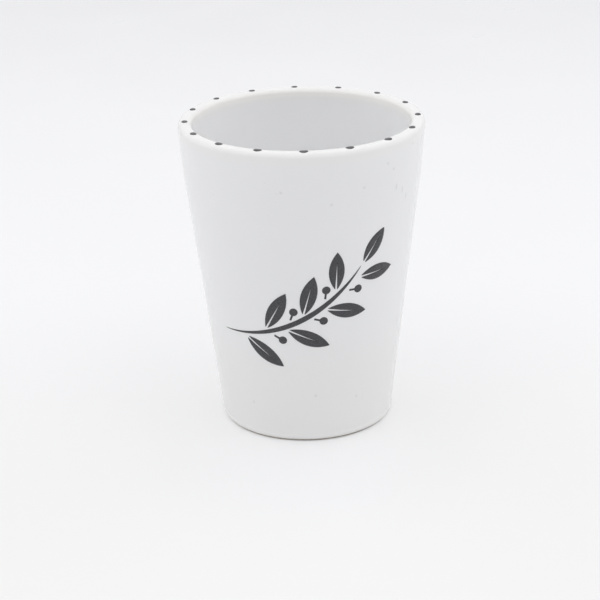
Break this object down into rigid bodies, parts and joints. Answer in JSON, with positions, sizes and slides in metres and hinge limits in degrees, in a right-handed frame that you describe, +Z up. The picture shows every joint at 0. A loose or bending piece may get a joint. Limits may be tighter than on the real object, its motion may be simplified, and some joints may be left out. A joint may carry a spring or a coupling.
{
  "type": "shot cup",
  "caption": "Small tapered ceramic cup without a handle, white glazed inside and out, with dark enamel dots on its rounded lip and a leaf sprig on its front.",
  "frame": {"origin": "centre of the foot ring on the surface that the cup stands on", "axes": "+Z up along the cup's axis, out of its mouth; the sprig faces -Y"},
  "size_m": [0.0492, 0.0492, 0.0631],
  "materials": {
    "bare_clay": "unglazed fired clay, matt, wiped smooth at the foot",
    "white_glaze": "cool white gloss glaze with fine pinholes",
    "charcoal_enamel": "charcoal overglaze enamel, satin"
  },
  "bodies": {
    "root": {"clay_body": "bare_clay", "outer_glaze": "white_glaze", "liner_glaze": "white_glaze", "base_glaze": "white_glaze", "rim_dot_01": "charcoal_enamel", "rim_dot_02": "charcoal_enamel", "rim_dot_03": "charcoal_enamel", "rim_dot_04": "charcoal_enamel", "rim_dot_05": "charcoal_enamel", "rim_dot_06": "charcoal_enamel", "rim_dot_07": "charcoal_enamel", "rim_dot_08": "charcoal_enamel", "rim_dot_09": "charcoal_enamel", "rim_dot_10": "charcoal_enamel", "rim_dot_11": "charcoal_enamel", "rim_dot_12": "charcoal_enamel", "rim_dot_13": "charcoal_enamel", "rim_dot_14": "charcoal_enamel", "rim_dot_15": "charcoal_enamel", "rim_dot_16": "charcoal_enamel", "sprig_stem": "charcoal_enamel", "sprig_tip_leaf": "charcoal_enamel", "sprig_leaf_01": "charcoal_enamel", "sprig_leaf_02": "charcoal_enamel", "sprig_leaf_03": "charcoal_enamel", "sprig_leaf_04": "charcoal_enamel", "sprig_leaf_05": "charcoal_enamel", "sprig_leaf_06": "charcoal_enamel", "sprig_leaf_07": "charcoal_enamel", "sprig_berry_01": "charcoal_enamel", "sprig_berry_02": "charcoal_enamel", "sprig_berry_03": "charcoal_enamel", "sprig_berry_04": "charcoal_enamel", "sprig_berry_05": "charcoal_enamel"}
  },
  "joints": []
}
